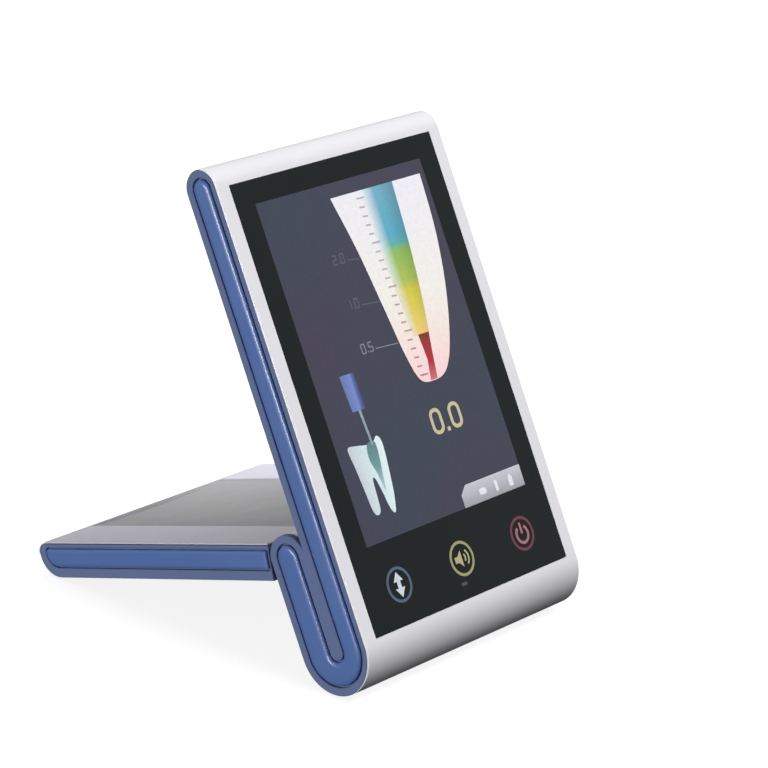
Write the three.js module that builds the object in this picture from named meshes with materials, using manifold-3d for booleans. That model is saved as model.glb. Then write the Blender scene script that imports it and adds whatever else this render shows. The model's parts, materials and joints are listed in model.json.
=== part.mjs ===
// Folding apex locator: a touch-screen display whose bottom bends round into a thick lower housing, and a
// flat stand hinged on top of that housing. Units are millimetres.
//
// The display is drawn upright in its own frame: x is width, y points to the back, z runs up the display,
// and the origin is the centre of the bottom bend. The stand is drawn in its folded place, parallel to the
// display, with its origin on the hinge axis. Both are then turned into the open, table-top pose.

import * as THREE from 'three';
import { mergeVertices } from 'three/addons/utils/BufferGeometryUtils.js';
import Module from 'manifold-3d';

const wasm = await Module();
wasm.setup();

// ---------- driving dimensions ----------

const WIDTH = 98;                 // across the flat blue side faces
const BEND_R = 12.7;              // outside radius of the bottom bend, half the folded thickness
const SLAB = 12;                  // thickness of the display slab
const DISPLAY_TOP = 141;          // top of the display above the bend centre
const OPEN_ANGLE = 78.83;         // degrees the stand swings from folded to open

const AXIS_Z = 29.2;              // hinge axis above the bend centre
const STAND_THICK = 11;
const STAND_START = 7;            // hinge end of the stand slab, from the axis
const STAND_TIP = 102;            // free end of the stand, from the axis
const TIP_R = 7.7;                // outer corner at the tip, the one that touches the table
const PAD_PROUD = 0.3;            // how far the rubber pads stand out

const WALL = 2;                   // moulded shell walls
const GAP = 0.3;                  // clearance between neighbouring pieces
const FINE_GAP = 0.2;             // clearance round the glass and the side plates
const RIM = 2.7;                  // flat rim round the raised side bar
const GROOVE = 0.5;               // dark groove between rim and bar
const RIM_T = 2.1;                // thickness of a blue side plate
const LIP = 0.6;                  // white lip along the front edge of each side plate
const BAR_PROUD = 0.5;            // how far the bar stands proud of the rim

const GLASS_W = 88.2;
const GLASS_T = 1.1;
const GLASS_BOTTOM = 0.85;
const GLASS_TOP = 133.9;
const LCD_W = 72.8;                // the panel's lit area
const LCD_BOTTOM = 25.4;
const LCD_TOP = 127;

const CHEEK = 30;                 // the housing's hinge cheeks start here, either side of the middle
const KNUCKLE = 28.6;             // half width of the stand's knuckle
const KNUCKLE_R = 6.3;
const PIN_R = 2;
const BORE_R = PIN_R + GAP;

const SCREW_HEAD_R = 2.3;
const SCREW_SHANK_R = 1.2;
const SCREW_HOLE_R = SCREW_SHANK_R + GAP;
const SCREW_RECESS_R = SCREW_HEAD_R + GAP;

// ---------- derived dimensions ----------

const HALF = WIDTH / 2;
const FRONT = -BEND_R;
const BACK = FRONT + SLAB;                      // flat back of the display slab
const TOP_R = SLAB / 2;
const TOP_Y = FRONT + TOP_R;
const TOP_Z = DISPLAY_TOP - TOP_R;
const ARM_R = (BEND_R - BACK) / 2;              // half thickness of the lower housing
const AXIS_Y = BEND_R - ARM_R;
const STAND_OUT = BEND_R - AXIS_Y;              // outer face of the stand, flush with the housing's back
const STAND_IN = STAND_OUT - STAND_THICK;
const TIP_IN_R = STAND_THICK - TIP_R;
const TIP_Y = STAND_OUT - TIP_R;
const SIDE_IN = HALF - RIM_T;                   // inner face of a blue side plate
const BAR_FLOOR = SIDE_IN + 0.9;                // floor of the pocket that a side bar sits in
const CAVITY_X = SIDE_IN - 1.2;                 // half width of the shells' inside

const swing = THREE.MathUtils.degToRad(OPEN_ANGLE);
const tipCentre = new THREE.Vector2(
  AXIS_Y + TIP_Y * Math.cos(swing) + (STAND_TIP - TIP_R) * Math.sin(swing),
  AXIS_Z - TIP_Y * Math.sin(swing) + (STAND_TIP - TIP_R) * Math.cos(swing),
);
// The bend and the stand's tip both touch the table, which sets how far the display leans back.
const lean = Math.atan2(tipCentre.y, tipCentre.x) + Math.asin((BEND_R - TIP_R) / tipCentre.length());

// ---------- geometry helpers ----------

function toSolid(geometry) {
  geometry.deleteAttribute('normal');
  geometry.deleteAttribute('uv');
  const merged = mergeVertices(geometry, 1e-4);
  return new wasm.Manifold(new wasm.Mesh({
    numProp: 3,
    vertProperties: new Float32Array(merged.attributes.position.array),
    triVerts: new Uint32Array(merged.index.array),
  }));
}

function toGeometry(solid) {
  const mesh = solid.getMesh();
  const geometry = new THREE.BufferGeometry();
  geometry.setAttribute('position', new THREE.BufferAttribute(mesh.vertProperties, 3));
  geometry.setIndex(new THREE.BufferAttribute(mesh.triVerts, 1));
  return geometry;
}

function join(...solids) {
  return solids.reduce((whole, solid) => whole.add(solid));
}

function cut(solid, ...tools) {
  return tools.reduce((rest, tool) => rest.subtract(tool), solid);
}

// A span on the right (side 1) or left (side -1), given from the middle outwards.
function span(side, inner, outer) {
  return side > 0 ? [inner, outer] : [-outer, -inner];
}

function block([x0, x1], [y0, y1], [z0, z1]) {
  const geometry = new THREE.BoxGeometry(x1 - x0, y1 - y0, z1 - z0);
  geometry.translate((x0 + x1) / 2, (y0 + y1) / 2, (z0 + z1) / 2);
  return toSolid(geometry);
}

function rodX(radius, [x0, x1], [y, z], sides = 32) {
  const geometry = new THREE.CylinderGeometry(radius, radius, x1 - x0, sides);
  geometry.rotateZ(Math.PI / 2);
  geometry.translate((x0 + x1) / 2, y, z);
  return toSolid(geometry);
}

function rodY(radius, [y0, y1], [x, z], sides = 20) {
  const geometry = new THREE.CylinderGeometry(radius, radius, y1 - y0, sides);
  geometry.translate(x, (y0 + y1) / 2, z);
  return toSolid(geometry);
}

// A (y, z) outline carried across the width, moved back by shift.
function acrossX(shape, [x0, x1], steps = 12, shift = 0) {
  const geometry = new THREE.ExtrudeGeometry(shape, {
    depth: x1 - x0, bevelEnabled: false, curveSegments: steps,
  });
  geometry.applyMatrix4(new THREE.Matrix4().set(0, 0, 1, x0, 1, 0, 0, shift, 0, 1, 0, 0, 0, 0, 0, 1));
  return toSolid(geometry);
}

function roundedRect([x0, x1], [z0, z1], radius) {
  const shape = new THREE.Shape();
  shape.moveTo(x0 + radius, z0);
  shape.lineTo(x1 - radius, z0);
  shape.absarc(x1 - radius, z0 + radius, radius, -Math.PI / 2, 0, false);
  shape.lineTo(x1, z1 - radius);
  shape.absarc(x1 - radius, z1 - radius, radius, 0, Math.PI / 2, false);
  shape.lineTo(x0 + radius, z1);
  shape.absarc(x0 + radius, z1 - radius, radius, Math.PI / 2, Math.PI, false);
  shape.lineTo(x0, z0 + radius);
  shape.absarc(x0 + radius, z0 + radius, radius, Math.PI, Math.PI * 1.5, false);
  return shape;
}

// A flat plate with rounded corners, facing the front and back.
function plate(xSpan, [y0, y1], zSpan, radius) {
  const geometry = new THREE.ExtrudeGeometry(roundedRect(xSpan, zSpan, radius), {
    depth: y1 - y0, bevelEnabled: false, curveSegments: 3,
  });
  geometry.rotateX(Math.PI / 2);
  geometry.translate(0, y1, 0);
  return toSolid(geometry);
}

// A strip that follows an arc of the given radius round (y, z), between two angles.
function arcStrip([y, z], inner, outer, from, to, xSpan) {
  const shape = new THREE.Shape();
  shape.absarc(y, z, outer, from, to, false);
  shape.absarc(y, z, inner, to, from, true);
  return acrossX(shape, xSpan, 6);
}

// ---------- outlines, seen from the side ----------

// Display slab, bottom bend and lower housing as one J, drawn a given distance inside its outline.
function bodyOutline(inset) {
  const shape = new THREE.Shape();
  shape.moveTo(FRONT + inset, 0);
  shape.lineTo(FRONT + inset, TOP_Z);
  shape.absarc(TOP_Y, TOP_Z, TOP_R - inset, Math.PI, 0, true);
  if (inset > 0) {
    shape.lineTo(BACK - inset, 0);
    shape.absarc(BACK, 0, inset, Math.PI, Math.PI * 2, false);
  }
  shape.lineTo(BACK + inset, AXIS_Z);
  shape.absarc(AXIS_Y, AXIS_Z, ARM_R - inset, Math.PI, 0, true);
  shape.lineTo(BEND_R - inset, 0);
  shape.absarc(0, 0, BEND_R - inset, 0, -Math.PI, true);
  return shape;
}

function standOutline() {
  const shape = new THREE.Shape();
  shape.moveTo(STAND_OUT, STAND_START);
  shape.lineTo(STAND_OUT, STAND_TIP - TIP_R);
  shape.absarc(TIP_Y, STAND_TIP - TIP_R, TIP_R, 0, Math.PI / 2, false);
  shape.absarc(TIP_Y, STAND_TIP - TIP_IN_R, TIP_IN_R, Math.PI / 2, Math.PI, false);
  shape.lineTo(STAND_IN, STAND_START);
  return shape;
}

// The raised bar on the stand's side: the rim is narrow above it and wider below.
const STAND_BAR = {
  inside: STAND_IN + 1.9,
  outside: STAND_OUT - 3.2,
  start: STAND_START + 0.75,
  tip: STAND_TIP - 2.9,
  outerR: 4.4,
  innerR: 1.1,
};

function standBarOutline(grow) {
  const outerR = STAND_BAR.outerR + grow;
  const innerR = STAND_BAR.innerR + grow;
  const inside = STAND_BAR.inside - grow;
  const outside = STAND_BAR.outside + grow;
  const start = STAND_BAR.start - grow;
  const tip = STAND_BAR.tip + grow;
  const shape = new THREE.Shape();
  shape.moveTo(outside, start);
  shape.lineTo(outside, tip - outerR);
  shape.absarc(outside - outerR, tip - outerR, outerR, 0, Math.PI / 2, false);
  shape.absarc(inside + innerR, tip - innerR, innerR, Math.PI / 2, Math.PI, false);
  shape.lineTo(inside, start);
  return shape;
}

// ---------- materials ----------

function finish(color, roughness, metalness = 0) {
  return new THREE.MeshStandardMaterial({ color, roughness, metalness });
}

const materials = {
  shell: finish(0xe6e6ec, 0.32),
  cover: finish(0xb9b9c4, 0.38),
  rim: finish(0x646c8e, 0.4),
  bar: finish(0x576ea6, 0.3),
  glass: finish(0x262a2a, 0.08),
  panel: finish(0x444858, 0.2),
  sensor: finish(0x3c4446, 0.3),
  rubber: finish(0x5d6068, 0.85),
  steel: finish(0xb8bbc0, 0.35, 0.9),
  zinc: finish(0x8f9398, 0.45, 0.8),
  board: finish(0x1d5a3c, 0.6),
  chip: finish(0x18191b, 0.5),
  black: finish(0x1c1d20, 0.55),
  battery: finish(0x3a6ea5, 0.6),
  brass: finish(0xc9a24a, 0.35, 0.9),
};

function addPiece(parent, name, solid, material) {
  const mesh = new THREE.Mesh(toGeometry(solid), material);
  mesh.name = name;
  parent.add(mesh);
}

// ---------- display shells ----------

const REAR = { half: 45.2, bottom: 37.2, top: 131.5, radius: 3, thick: 1.8 };
const GLASS_LEDGE = 2.2;          // width of the ledge that the glass rests on
const BASE_PAD = { half: 3, reach: 38, thick: 1 };
const ARM_FLOOR = 20;             // top of the space inside the lower housing
const WIRE_WAY = { half: 18, bottom: 4, top: 15 };
const JACK = { y: AXIS_Y, z: 1, outer: 2.6, bore: 1.8, depth: 12 };
const USB = { y: TOP_Y, z: 6.2, length: 9, width: 3.2, depth: 7.5, wall: 0.45 };
const COVER_SCREWS = [[-40, 43], [40, 43], [-40, 126], [40, 126]];
const SPEAKER_SLOTS = [0, 1, 2, 3, 4].map((index) => 22 + index * 3.4);

function socketHoles() {
  const outwards = span(1, HALF - JACK.depth - 1, HALF + 5);
  return [
    rodX(JACK.outer + FINE_GAP, outwards, [JACK.y, JACK.z]),
    block(
      span(1, HALF - USB.depth - 1, HALF + 5),
      [USB.y - USB.width / 2 - FINE_GAP, USB.y + USB.width / 2 + FINE_GAP],
      [USB.z - USB.length / 2 - FINE_GAP, USB.z + USB.length / 2 + FINE_GAP],
    ),
  ];
}

// The room that a blue side plate fills, behind a thin white lip along the display's front edge.
function sideRoom(reach, lip) {
  const arm = block(reach, [BACK - FINE_GAP, BEND_R + 1], [0, AXIS_Z + ARM_R + 1]);
  return join(acrossX(bodyOutline(0), reach, 14, lip), arm);
}

function sideRecess(side) {
  return sideRoom(span(side, SIDE_IN - GAP, HALF + 5), LIP - FINE_GAP);
}

function frontHousing() {
  const body = acrossX(bodyOutline(0), [-HALF, HALF], 14);
  const inside = new THREE.Shape();
  inside.moveTo(FRONT + WALL, 0);
  inside.lineTo(FRONT + WALL, TOP_Z);
  inside.absarc(TOP_Y, TOP_Z, TOP_R - WALL, Math.PI, 0, true);
  inside.lineTo(BACK - WALL, 1);
  inside.lineTo(BEND_R - WALL, 1);
  inside.absarc(0, 0, BEND_R - WALL, 0, -Math.PI, true);
  const opening = GLASS_W / 2 - GLASS_LEDGE;
  return cut(
    body,
    acrossX(inside, [-CAVITY_X, CAVITY_X], 8),
    block([-HALF - 1, HALF + 1], [BACK, BEND_R + 1], [0, AXIS_Z + ARM_R + 1]),
    sideRecess(1),
    sideRecess(-1),
    plate(
      [-GLASS_W / 2 - FINE_GAP, GLASS_W / 2 + FINE_GAP],
      [FRONT - 1, FRONT + GLASS_T + FINE_GAP],
      [GLASS_BOTTOM - FINE_GAP, GLASS_TOP + FINE_GAP],
      1.2,
    ),
    plate(
      [-opening, opening],
      [FRONT, FRONT + WALL + 1],
      [GLASS_BOTTOM + GLASS_LEDGE, GLASS_TOP - GLASS_LEDGE],
      1,
    ),
    plate(
      [-REAR.half - GAP, REAR.half + GAP],
      [BACK - REAR.thick - GAP, BACK + 1],
      [REAR.bottom - GAP, REAR.top + GAP],
      REAR.radius,
    ),
    block([-REAR.half + 1, REAR.half - 1], [BACK - WALL - 1, BACK], [REAR.bottom + 1, REAR.top - 1]),
    block([-WIRE_WAY.half, WIRE_WAY.half], [BACK - WALL - 1, BACK + 1], [WIRE_WAY.bottom, WIRE_WAY.top]),
    basePad(GAP),
    ...socketHoles(),
  );
}

// The rubber strip under the bend, centred on the line that touches the table.
function basePad(grow) {
  const down = lean - Math.PI / 2;
  const half = (BASE_PAD.half + grow) / BEND_R;
  const reach = BASE_PAD.reach + grow;
  const inner = BEND_R - BASE_PAD.thick - grow;
  const outer = grow > 0 ? BEND_R + 2 : BEND_R + PAD_PROUD;
  return arcStrip([0, 0], inner, outer, down - half, down + half, [-reach, reach]);
}

function rearCover() {
  const depth = [BACK - REAR.thick, BACK];
  const panel = plate([-REAR.half, REAR.half], depth, [REAR.bottom, REAR.top], REAR.radius);
  const heads = COVER_SCREWS.map((at) => rodY(SCREW_RECESS_R, [BACK - 1, BACK + 1], at));
  const holes = COVER_SCREWS.map((at) => rodY(SCREW_HOLE_R, [BACK - 5, BACK + 1], at));
  return cut(panel, ...heads, ...holes);
}

function lowerHousing() {
  const arm = acrossX(bodyOutline(0), [-HALF, HALF], 14)
    .intersect(block([-HALF, HALF], [BACK + GAP, BEND_R + 1], [GAP, AXIS_Z + ARM_R + 1]));
  const cheekPocket = (side) => block(
    span(side, BRACKET.web[0] - 0.4, PIN.collar[1] + 0.4),
    [BRACKET.front - 0.4, BRACKET.back + 0.4],
    [ARM_FLOOR - 1, BRACKET.top + 0.4],
  );
  const slots = SPEAKER_SLOTS.map((x) => block([x, x + 1.4], [BEND_R - WALL - 1, BEND_R + 1], [5, 15]));
  const blind = bracketScrewPlaces().map((at) => rodY(1.4, [BEND_R - WALL - 1, BEND_R - 0.7], at));
  return cut(
    arm,
    block([-CAVITY_X, CAVITY_X], [BACK - 1, BEND_R - WALL], [0, ARM_FLOOR]),
    rodX(KNUCKLE_R + GAP, [-CHEEK, CHEEK], [AXIS_Y, AXIS_Z], 48),
    block([-CHEEK, CHEEK], [BACK, BEND_R + 1], [AXIS_Z - 3.6, AXIS_Z + ARM_R + 1]),
    rodX(BORE_R, [-46, 46], [AXIS_Y, AXIS_Z], 24),
    cheekPocket(1),
    cheekPocket(-1),
    sideRecess(1),
    sideRecess(-1),
    ...slots,
    ...blind,
    ...socketHoles(),
  );
}

function sideRim(side) {
  const body = acrossX(bodyOutline(0), span(side, SIDE_IN, HALF), 14);
  const clipped = body.intersect(sideRoom(span(side, SIDE_IN - 1, HALF + 1), LIP));
  const pocket = acrossX(bodyOutline(RIM - GROOVE / 2), span(side, BAR_FLOOR, HALF + 1));
  return side > 0 ? cut(clipped, pocket, ...socketHoles()) : cut(clipped, pocket);
}

function sideBar(side) {
  const seat = span(side, BAR_FLOOR + GAP, HALF + BAR_PROUD);
  const bar = acrossX(bodyOutline(RIM + GROOVE / 2), seat);
  return side > 0 ? cut(bar, ...socketHoles()) : bar;
}

// ---------- display contents ----------

const STACK = {
  sensor: [FRONT + GLASS_T + 0.4, FRONT + GLASS_T + 0.9],
  lcd: [FRONT + GLASS_T + 1.2, FRONT + GLASS_T + 2.8],
  backlight: [FRONT + GLASS_T + 3.1, FRONT + GLASS_T + 5.3],
  board: [FRONT + GLASS_T + 6.2, FRONT + GLASS_T + 7.4],
};

// A plate that reaches past the lit area by the given border; the panel's connector edge is at the bottom.
function behindScreen(depth, border, below) {
  const half = LCD_W / 2 + border;
  return plate([-half, half], depth, [LCD_BOTTOM - below, LCD_TOP + border - 1.8], 0.6);
}

function lcdPanel() {
  return behindScreen(STACK.lcd, 2.8, 3.6);
}

function lightGuide() {
  const front = STACK.backlight[0];
  return behindScreen([front, front + 0.9], 1.9, 2.5);
}

function backlightTray() {
  const front = STACK.backlight[0];
  return behindScreen(STACK.backlight, 3.6, 4.2).subtract(behindScreen([front - 1, front + 1.2], 2.2, 2.8));
}

const BOARD = { half: 36, bottom: 44, top: 118, holeInset: 3 };

function mainBoard() {
  const board = plate([-BOARD.half, BOARD.half], STACK.board, [BOARD.bottom, BOARD.top], 1.5);
  const x = BOARD.half - BOARD.holeInset;
  const z = [BOARD.bottom + BOARD.holeInset, BOARD.top - BOARD.holeInset];
  const places = [[-x, z[0]], [x, z[0]], [-x, z[1]], [x, z[1]]];
  return cut(board, ...places.map((at) => rodY(1.3, [STACK.board[0] - 1, STACK.board[1] + 1], at, 12)));
}

function boardParts() {
  const y = [STACK.board[1] + GAP, STACK.board[1] + 1.3];
  return {
    processor: block([-7, 7], y, [84, 98]),
    shield: block([-30, -12], y, [72, 100]),
    memory: block([12, 22], y, [84, 97]),
    connector: block([-11, 11], y, [50, 55]),
  };
}

function batteryPack() {
  return plate([-27, 16], [0.6, 9.6], [-4, 18], 1.5);
}

function speakerBox() {
  const can = block([20.5, 33.5], [0.5, 7.4], [-5, 6.4]);
  const cone = rodY(4.4, [7.2, 8.4], [27, 0.6], 24);
  return join(can, cone);
}

function probeSocket() {
  const body = rodX(JACK.outer, [HALF - JACK.depth, HALF + BAR_PROUD], [JACK.y, JACK.z], 32);
  const bore = rodX(JACK.bore, [HALF - JACK.depth + 1.5, HALF + 2], [JACK.y, JACK.z], 24);
  return body.subtract(bore);
}

function chargingSocket() {
  const y = [USB.y - USB.width / 2, USB.y + USB.width / 2];
  const z = [USB.z - USB.length / 2, USB.z + USB.length / 2];
  const grow = ([low, high], by) => [low + by, high - by];
  const shell = block([HALF - USB.depth, HALF + BAR_PROUD - 0.1], y, z);
  const hollow = block([HALF - USB.depth + 1, HALF + 2], grow(y, USB.wall), grow(z, USB.wall));
  const tongue = block([HALF - USB.depth + 0.5, HALF - 1], grow(y, 1.25), grow(z, 1.3));
  return join(shell.subtract(hollow), tongue);
}

// ---------- hinge ----------

// Each bracket is an L: a web that the pin passes through, and a foot screwed to the housing's back wall.
const BRACKET = {
  web: [36.3, 39.7], foot: 31, footY: [9, 10.3], footTop: 18.6, bottom: 8, top: 32.6, front: 2.4, back: 9.6,
};
const PIN = { span: [16, 44], collar: [40.4, 41.4], collarR: 3 };
const WASHER_R = 5;
const BRACKET_SCREW = { x: 33.4, z: [10.5, 16], headR: 2, shankR: 1.1, length: 4 };

function bracketScrewPlaces() {
  return [-1, 1].flatMap((side) => BRACKET_SCREW.z.map((z) => [side * BRACKET_SCREW.x, z]));
}

function hingeBracket(side) {
  const { bottom, front, back, top, footTop, footY } = BRACKET;
  const web = block(span(side, ...BRACKET.web), [front, back], [bottom, top]);
  const foot = block(span(side, BRACKET.foot, BRACKET.web[1]), footY, [bottom, footTop]);
  const holeR = BRACKET_SCREW.shankR + GAP;
  const holes = bracketScrewPlaces().map((at) => rodY(holeR, [footY[0] - 1, footY[1] + 1], at));
  return cut(join(web, foot), rodX(BORE_R, [-46, 46], [AXIS_Y, AXIS_Z], 24), ...holes);
}

function bracketScrew(at) {
  const under = BRACKET.footY[0] - GAP;
  const head = rodY(BRACKET_SCREW.headR, [under - 1.1, under], at);
  const shank = rodY(BRACKET_SCREW.shankR, [under - 0.1, under + BRACKET_SCREW.length - 1.1], at, 12);
  return join(head, shank);
}

// A slotted countersunk screw whose head's outer face is at the given y, driven towards the front.
function slottedScrew(at, top, length) {
  const head = rodY(SCREW_HEAD_R, [top - 0.7, top], at);
  const shank = rodY(SCREW_SHANK_R, [top - length, top - 0.6], at, 12);
  const slot = block([at[0] - 1.6, at[0] + 1.6], [top - 0.35, top + 1], [at[1] - 0.25, at[1] + 0.25]);
  return join(head, shank).subtract(slot);
}

function hingePin(side) {
  return join(
    rodX(PIN_R, span(side, ...PIN.span), [AXIS_Y, AXIS_Z], 24),
    rodX(PIN.collarR, span(side, ...PIN.collar), [AXIS_Y, AXIS_Z], 24),
  );
}

function frictionWasher(side) {
  const place = [AXIS_Y, AXIS_Z];
  const ring = rodX(WASHER_R, span(side, KNUCKLE + GAP, CHEEK - GAP), place, 32);
  return ring.subtract(rodX(BORE_R, [-40, 40], place, 24));
}

// ---------- stand, with its origin on the hinge axis ----------

const COVER_T = 1.8;              // thickness of the stand's inner cover
const CHANNEL = { half: 29.3, edge: 0.45, depth: 1.1 };
const STAND_PAD = { half: 1.7, reach: 38, thick: 1 };
const LEAF = { x: [12, 26], y: [0.6, 2], z: [3.7, 26] };
const NECK = { y: [STAND_IN + COVER_T + 0.6, 4], end: 16 };
const STAND_SCREWS = [[-20, 11.5], [20, 11.5], [-37, 44], [37, 44], [-37, 86], [37, 86]];

function standRecess(side) {
  return acrossX(standOutline(), span(side, SIDE_IN - GAP, HALF + 5), 10, LIP - FINE_GAP);
}

function standBody() {
  return acrossX(standOutline(), [-HALF, HALF], 10);
}

function standShell() {
  const coverLine = STAND_IN + COVER_T + GAP;
  const cavity = block(
    [-CAVITY_X, CAVITY_X],
    [coverLine - 3, STAND_OUT - WALL],
    [STAND_START + WALL, STAND_TIP - 6],
  );
  const bosses = STAND_SCREWS.slice(2).map((at) => rodY(3, [coverLine, STAND_OUT - 1], at, 24));
  const whole = cut(
    standBody(),
    block([-HALF - 1, HALF + 1], [STAND_IN - 1, coverLine], [STAND_START - 1, STAND_TIP - TIP_IN_R]),
    cavity,
  );
  const heads = STAND_SCREWS.map((at) => rodY(SCREW_RECESS_R, [STAND_OUT - 1.2, STAND_OUT + 1], at));
  const holes = STAND_SCREWS.map((at) => rodY(SCREW_HOLE_R, [STAND_IN, STAND_OUT], at));
  return cut(
    join(whole, ...bosses),
    block(
      [-KNUCKLE - GAP, KNUCKLE + GAP],
      [STAND_IN, NECK.y[1] + GAP],
      [STAND_START - 1, STAND_START + WALL + 1],
    ),
    standRecess(1),
    standRecess(-1),
    standPad(GAP),
    ...heads,
    ...holes,
  );
}

// The inner cover carries a wide, shallow channel down its middle.
function standCover() {
  const sagitta = CHANNEL.depth - CHANNEL.edge;
  const radius = (CHANNEL.half ** 2 + sagitta ** 2) / (2 * sagitta);
  const arc = Math.asin(CHANNEL.half / radius);
  const hollow = new THREE.Shape();
  hollow.moveTo(CHANNEL.half, STAND_IN - 1);
  hollow.lineTo(CHANNEL.half, STAND_IN + CHANNEL.edge);
  hollow.absarc(0, STAND_IN + CHANNEL.depth - radius, radius, Math.PI / 2 - arc, Math.PI / 2 + arc, false);
  hollow.lineTo(-CHANNEL.half, STAND_IN - 1);
  const channel = new THREE.ExtrudeGeometry(hollow, {
    depth: STAND_TIP, bevelEnabled: false, curveSegments: 8,
  });
  const length = [STAND_START, STAND_TIP - TIP_IN_R - GAP];
  const slab = block([-HALF, HALF], [STAND_IN, STAND_IN + COVER_T], length);
  return cut(slab, toSolid(channel), standRecess(1), standRecess(-1));
}

function standRim(side) {
  const plateSolid = acrossX(standOutline(), span(side, SIDE_IN, HALF), 10);
  const behindLip = acrossX(standOutline(), span(side, SIDE_IN - 1, HALF + 1), 10, LIP);
  const pocket = acrossX(standBarOutline(GROOVE / 2), span(side, BAR_FLOOR, HALF + 1));
  return cut(plateSolid.intersect(behindLip), pocket);
}

function standBar(side) {
  return acrossX(standBarOutline(-GROOVE / 2), span(side, BAR_FLOOR + GAP, HALF + BAR_PROUD));
}

function standKnuckle() {
  const barrel = rodX(KNUCKLE_R, [-KNUCKLE, KNUCKLE], [0, 0], 48);
  const neck = block([-KNUCKLE, KNUCKLE], NECK.y, [0, NECK.end]);
  const bores = [-1, 1].map((side) => rodX(BORE_R, span(side, PIN.span[0] - 1, HALF), [0, 0], 24));
  const leafSlots = [-1, 1].map((side) => block(
    span(side, LEAF.x[0] - GAP, LEAF.x[1] + GAP),
    [LEAF.y[0] - GAP, LEAF.y[1] + GAP],
    [LEAF.z[0] - GAP, NECK.end + 1],
  ));
  const screwHoles = STAND_SCREWS.slice(0, 2).map((at) => rodY(SCREW_HOLE_R, [-1, NECK.y[1] + 1], at));
  return cut(join(barrel, neck), ...bores, ...leafSlots, ...screwHoles);
}

function hingeLeaf(side) {
  const [x, z] = STAND_SCREWS[1];
  const leaf = block(span(side, ...LEAF.x), LEAF.y, LEAF.z);
  return leaf.subtract(rodY(SCREW_HOLE_R + FINE_GAP, [-1, 5], [side * x, z], 16));
}

function stiffenerPlate() {
  const sheet = plate([-32, 32], [1, 2.2], [30, 92], 3);
  const rib = (x) => block([x - 1, x + 1], [2, 4.2], [34, 88]);
  const window = plate([-14, 14], [0, 3], [44, 78], 3);
  return cut(join(sheet, rib(-24), rib(24)), window);
}

// The rubber strip on the tip's outer corner, centred on the line that touches the table.
function standPad(grow) {
  const down = swing + lean - Math.PI / 2;
  const half = (STAND_PAD.half + grow) / TIP_R;
  const reach = STAND_PAD.reach + grow;
  const outer = grow > 0 ? TIP_R + 2 : TIP_R + PAD_PROUD;
  const centre = [TIP_Y, STAND_TIP - TIP_R];
  const inner = TIP_R - STAND_PAD.thick - grow;
  return arcStrip(centre, inner, outer, down - half, down + half, [-reach, reach]);
}

// ---------- assembly ----------

const display = new THREE.Group();
const stand = new THREE.Group();
const sides = [['left', -1], ['right', 1]];

addPiece(display, 'front_housing', frontHousing(), materials.shell);
addPiece(display, 'rear_cover', rearCover(), materials.shell);
addPiece(display, 'lower_housing', lowerHousing(), materials.shell);
addPiece(display, 'base_pad', basePad(0), materials.rubber);
addPiece(display, 'cover_glass', plate(
  [-GLASS_W / 2, GLASS_W / 2], [FRONT, FRONT + GLASS_T], [GLASS_BOTTOM, GLASS_TOP], 1,
), materials.glass);
addPiece(display, 'touch_sensor', plate([-41.5, 41.5], STACK.sensor, [4, 131], 1), materials.sensor);
addPiece(display, 'lcd_panel', lcdPanel(), materials.panel);
addPiece(display, 'light_guide', lightGuide(), materials.cover);
addPiece(display, 'backlight_tray', backlightTray(), materials.steel);
addPiece(display, 'main_board', mainBoard(), materials.board);

const chips = boardParts();
addPiece(display, 'processor_chip', chips.processor, materials.chip);
addPiece(display, 'shield_can', chips.shield, materials.steel);
addPiece(display, 'memory_chip', chips.memory, materials.chip);
addPiece(display, 'battery_connector', chips.connector, materials.black);

addPiece(display, 'battery_pack', batteryPack(), materials.battery);
addPiece(display, 'speaker', speakerBox(), materials.black);
addPiece(display, 'probe_socket', probeSocket(), materials.zinc);
addPiece(display, 'charging_socket', chargingSocket(), materials.steel);
bracketScrewPlaces().forEach((at, index) => {
  addPiece(display, `bracket_screw_${index + 1}`, bracketScrew(at), materials.steel);
});
COVER_SCREWS.forEach((at, index) => {
  addPiece(display, `cover_screw_${index + 1}`, slottedScrew(at, BACK - 0.1, 4.4), materials.steel);
});

for (const [label, side] of sides) {
  addPiece(display, `side_rim_${label}`, sideRim(side), materials.rim);
  addPiece(display, `side_bar_${label}`, sideBar(side), materials.bar);
  addPiece(display, `hinge_bracket_${label}`, hingeBracket(side), materials.zinc);
  addPiece(display, `hinge_pin_${label}`, hingePin(side), materials.steel);
  addPiece(display, `friction_washer_${label}`, frictionWasher(side), materials.brass);
  addPiece(stand, `stand_rim_${label}`, standRim(side), materials.rim);
  addPiece(stand, `stand_bar_${label}`, standBar(side), materials.bar);
  addPiece(stand, `hinge_leaf_${label}`, hingeLeaf(side), materials.zinc);
}

addPiece(stand, 'stand_shell', standShell(), materials.shell);
addPiece(stand, 'stand_cover', standCover(), materials.cover);
addPiece(stand, 'stand_knuckle', standKnuckle(), materials.cover);
addPiece(stand, 'stiffener_plate', stiffenerPlate(), materials.zinc);
STAND_SCREWS.forEach((at, index) => {
  addPiece(stand, `stand_screw_${index + 1}`, slottedScrew(at, STAND_OUT - 0.2, 6.5), materials.steel);
});
addPiece(stand, 'stand_pad', standPad(0), materials.rubber);

stand.position.set(0, AXIS_Y, AXIS_Z);
stand.rotation.x = -swing;
display.add(stand);

// Lean the display back, stand it on the table and centre its footprint on the origin.
const depthFront = -BEND_R;
const tipReach = AXIS_Y * Math.cos(lean) + AXIS_Z * Math.sin(lean)
  + TIP_Y * Math.cos(lean + swing) + (STAND_TIP - TIP_IN_R) * Math.sin(lean + swing) + TIP_IN_R;
display.rotation.x = -lean;
display.position.set(0, -(depthFront + tipReach) / 2, BEND_R + PAD_PROUD);

const group = new THREE.Group();
group.add(display);

export default group;
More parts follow.
